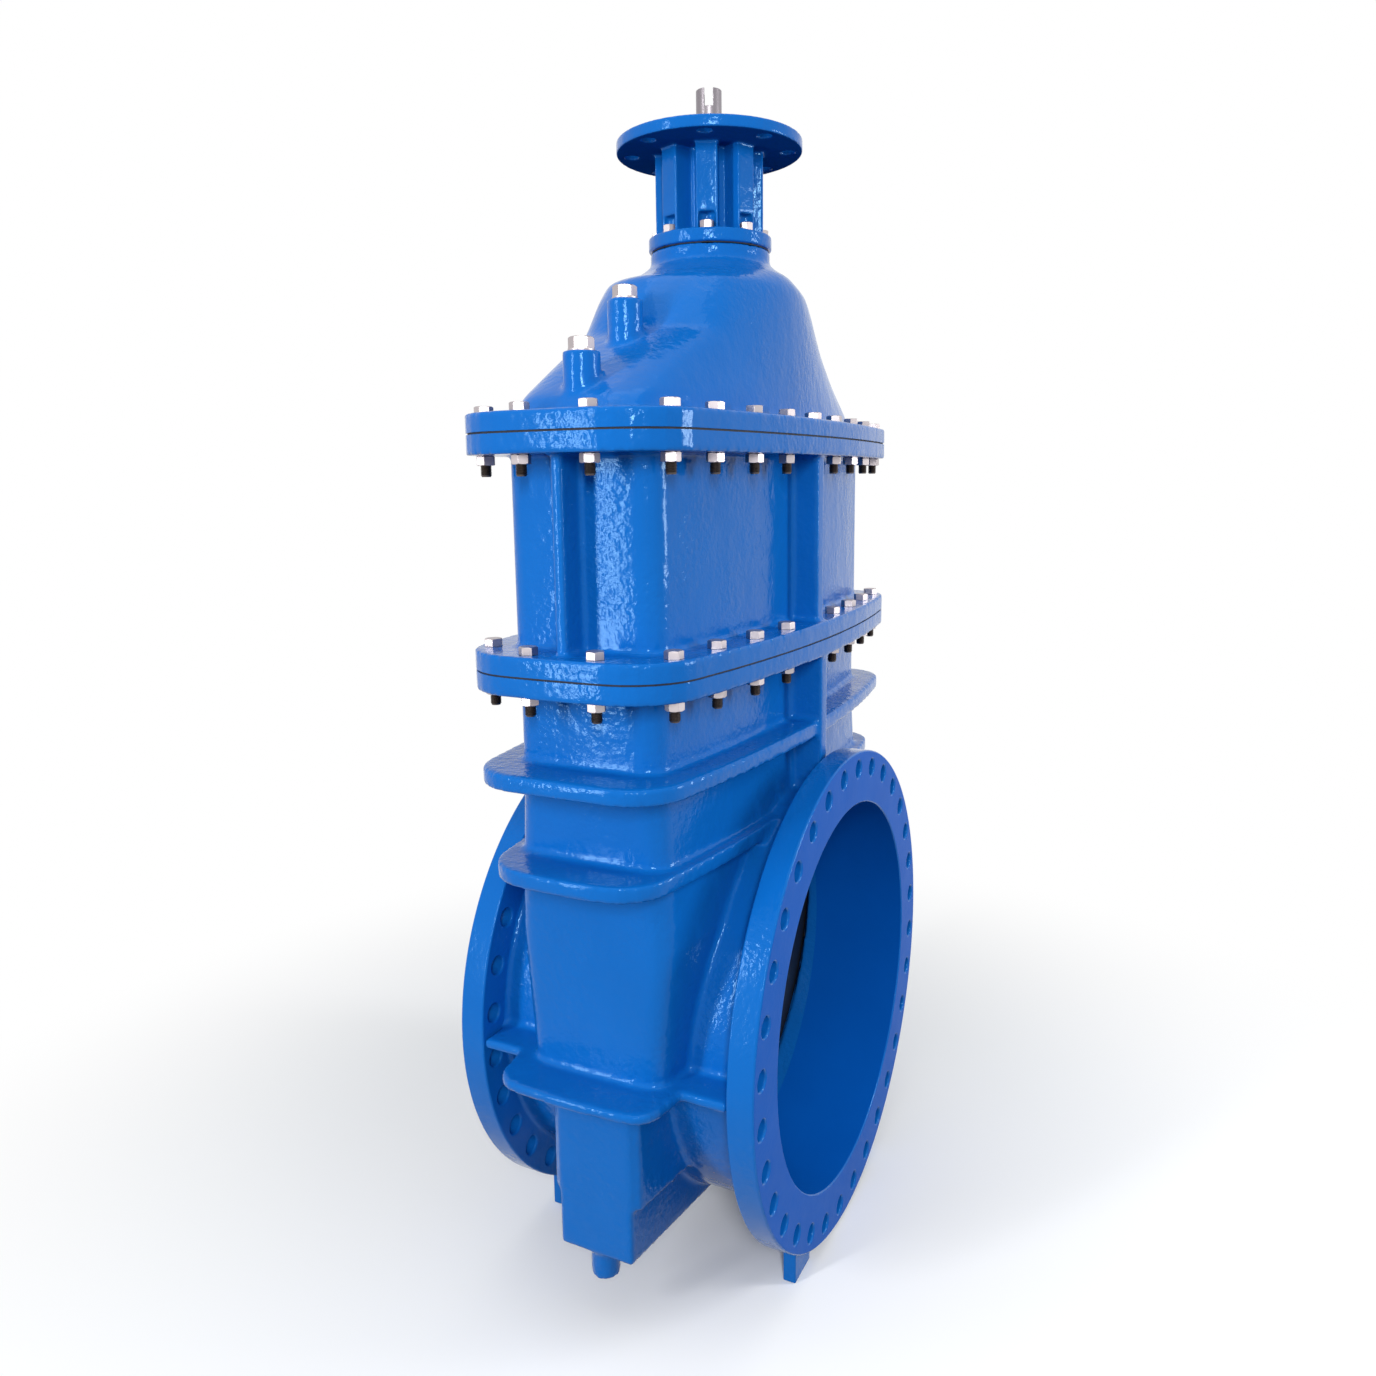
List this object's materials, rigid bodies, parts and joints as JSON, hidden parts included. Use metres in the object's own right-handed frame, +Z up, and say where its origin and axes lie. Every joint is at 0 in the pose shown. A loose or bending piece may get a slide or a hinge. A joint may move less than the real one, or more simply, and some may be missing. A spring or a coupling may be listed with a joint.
{
  "type": "resilient seat gate valve",
  "caption": "Large flanged resilient-seat gate valve, blue coated iron, with a bonnet, a domed cover and a pedestal for an actuator.",
  "frame": {"origin": "on the floor, under the middle of the valve", "axes": "+Z up along the stem, +X along the pipe, -Y towards the side with the vent plugs"},
  "size_m": [0.7112, 1.42, 2.684],
  "materials": {
    "blue_epoxy": "thick gloss fusion-bonded epoxy over cast iron",
    "gasket_rubber": "black rubber sheet and rings",
    "plated_steel": "zinc-plated bolts and plugs",
    "gate_iron": "ductile iron core of the gate",
    "gate_rubber": "moulded black rubber bonded to the gate",
    "guide_plastic": "pale low-friction plastic shoes",
    "bronze": "turned bronze",
    "stainless_stem": "turned stainless steel",
    "drive_steel": "bare machined steel"
  },
  "bodies": {
    "valve": {"body": "blue_epoxy", "lower_gasket": "gasket_rubber", "middle_bonnet": "blue_epoxy", "upper_gasket": "gasket_rubber", "domed_bonnet": "blue_epoxy", "pedestal_gasket": "gasket_rubber", "pedestal": "blue_epoxy", "upper_vent_plug": "plated_steel", "lower_vent_plug": "plated_steel", "lower_thrust_ring": "bronze", "upper_thrust_ring": "bronze", "stem_bushing": "bronze", "lower_stem_seal": "gasket_rubber", "upper_stem_seal": "gasket_rubber"},
    "gate": {"gate_core": "gate_iron", "gate_rubber": "gate_rubber", "guide_shoe_near": "guide_plastic", "guide_shoe_far": "guide_plastic", "stem_nut": "bronze"},
    "spindle": {"stem": "stainless_stem", "drive_sleeve": "drive_steel"}
  },
  "joints": [
    {"name": "gate_lift", "type": "slide", "parent": "valve", "child": "gate", "axis": [0, 0, 1], "range_m": [0, 0.9264]},
    {"name": "stem_turn", "type": "hinge", "parent": "valve", "child": "spindle", "pos_m": [0, 0, 2.573], "axis": [0, 0, 1], "range_deg": [0, 27794]}
  ],
  "couplings": [
    {"joint": "stem_turn", "follows": "gate_lift", "rad_per_m": 523.6}
  ]
}
